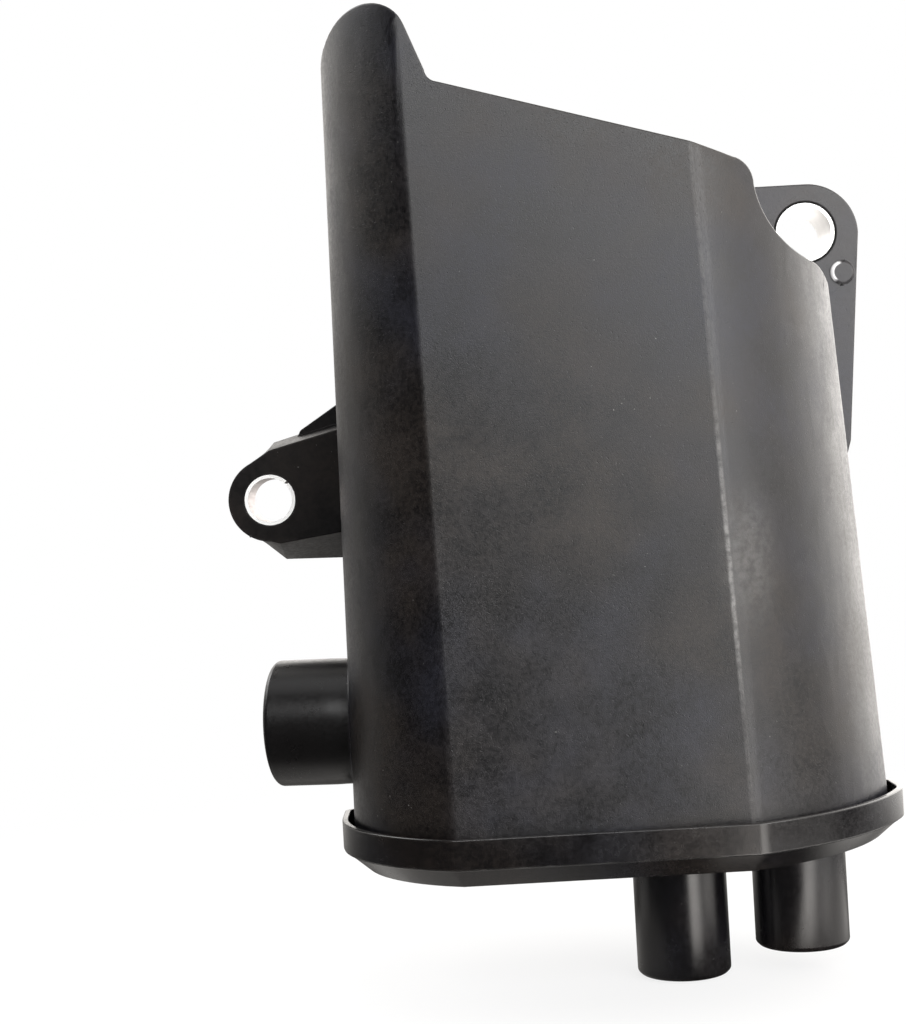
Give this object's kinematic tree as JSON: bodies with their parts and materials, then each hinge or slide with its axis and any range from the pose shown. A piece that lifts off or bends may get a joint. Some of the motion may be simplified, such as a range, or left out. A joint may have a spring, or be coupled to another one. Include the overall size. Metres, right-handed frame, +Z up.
{
  "type": "engine crankcase ventilation oil trap",
  "caption": "Moulded oil trap for engine breather gas: a hollow housing with mounting ears, steel sleeves, a side hose stub and a welded base cap with drain stubs.",
  "frame": {"origin": "left bolt's axis where it meets the mounting plane, which is the back of both ears", "axes": "+X to the right in the front view, towards the other ear; +Z up, along the tallest extent; -Y to the front, the way the bolts come out"},
  "size_m": [0.1454, 0.0815, 0.1994],
  "materials": {
    "black_plastic": "fine spark-eroded matt",
    "steel": "bright rolled steel"
  },
  "bodies": {
    "root": {"housing": "black_plastic", "left_ear": "black_plastic", "right_ear": "black_plastic", "base_cap": "black_plastic", "baffle_insert": "black_plastic", "left_sleeve": "steel", "right_sleeve": "steel"}
  },
  "joints": []
}
